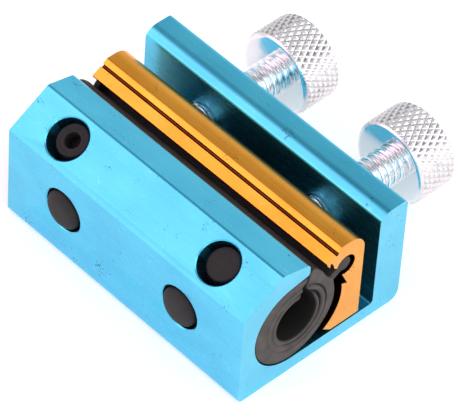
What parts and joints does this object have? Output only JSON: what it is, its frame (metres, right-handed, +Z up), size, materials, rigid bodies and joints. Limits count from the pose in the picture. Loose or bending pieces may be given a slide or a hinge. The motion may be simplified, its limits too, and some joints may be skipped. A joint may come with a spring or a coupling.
{
  "type": "control cable luber",
  "caption": "Clamp that seals a split rubber sleeve round a control cable so that lubricant can be sprayed in, closed by knurled thumbscrews.",
  "frame": {"origin": "middle of the whole luber's footprint, on the flat underside", "axes": "+X along the cable from the inlet end to the open end, +Y from the drilled front face to the thumbscrews, +Z up from the flat underside"},
  "size_m": [0.052, 0.0516, 0.0224],
  "materials": {
    "blue_anodised": "bright blue anodised extrusion, satin",
    "gold_anodised": "gold anodised extrusion, satin",
    "seal_rubber": "matt moulded black rubber",
    "stud_steel": "bright plated screw thread",
    "knob_aluminium": "bright turned aluminium with a diamond knurl"
  },
  "bodies": {
    "housing": {"body": "blue_anodised", "seal_front": "seal_rubber"},
    "clamp": {"clamp_plate": "gold_anodised", "seal_back": "seal_rubber"},
    "screw_left": {"stud_left": "stud_steel", "knob_left": "knob_aluminium"},
    "screw_right": {"stud_right": "stud_steel", "knob_right": "knob_aluminium"}
  },
  "joints": [
    {"name": "clamp_slide", "type": "slide", "parent": "housing", "child": "clamp", "axis": [0, 1, 0], "range_m": [-0.0006, 0.0028]},
    {"name": "screw_left_turn", "type": "hinge", "parent": "clamp", "child": "screw_left", "pos_m": [-0.01275, 0, 0.0117], "axis": [0, 1, 0], "range_deg": [-170, 793]},
    {"name": "screw_right_turn", "type": "hinge", "parent": "clamp", "child": "screw_right", "pos_m": [0.01275, 0, 0.0117], "axis": [0, 1, 0], "range_deg": [-171, 794]}
  ],
  "couplings": [
    {"joint": "clamp_slide", "follows": "screw_left_turn", "m_per_rad": 0.00020213},
    {"joint": "screw_right_turn", "follows": "screw_left_turn", "ratio": 1}
  ]
}
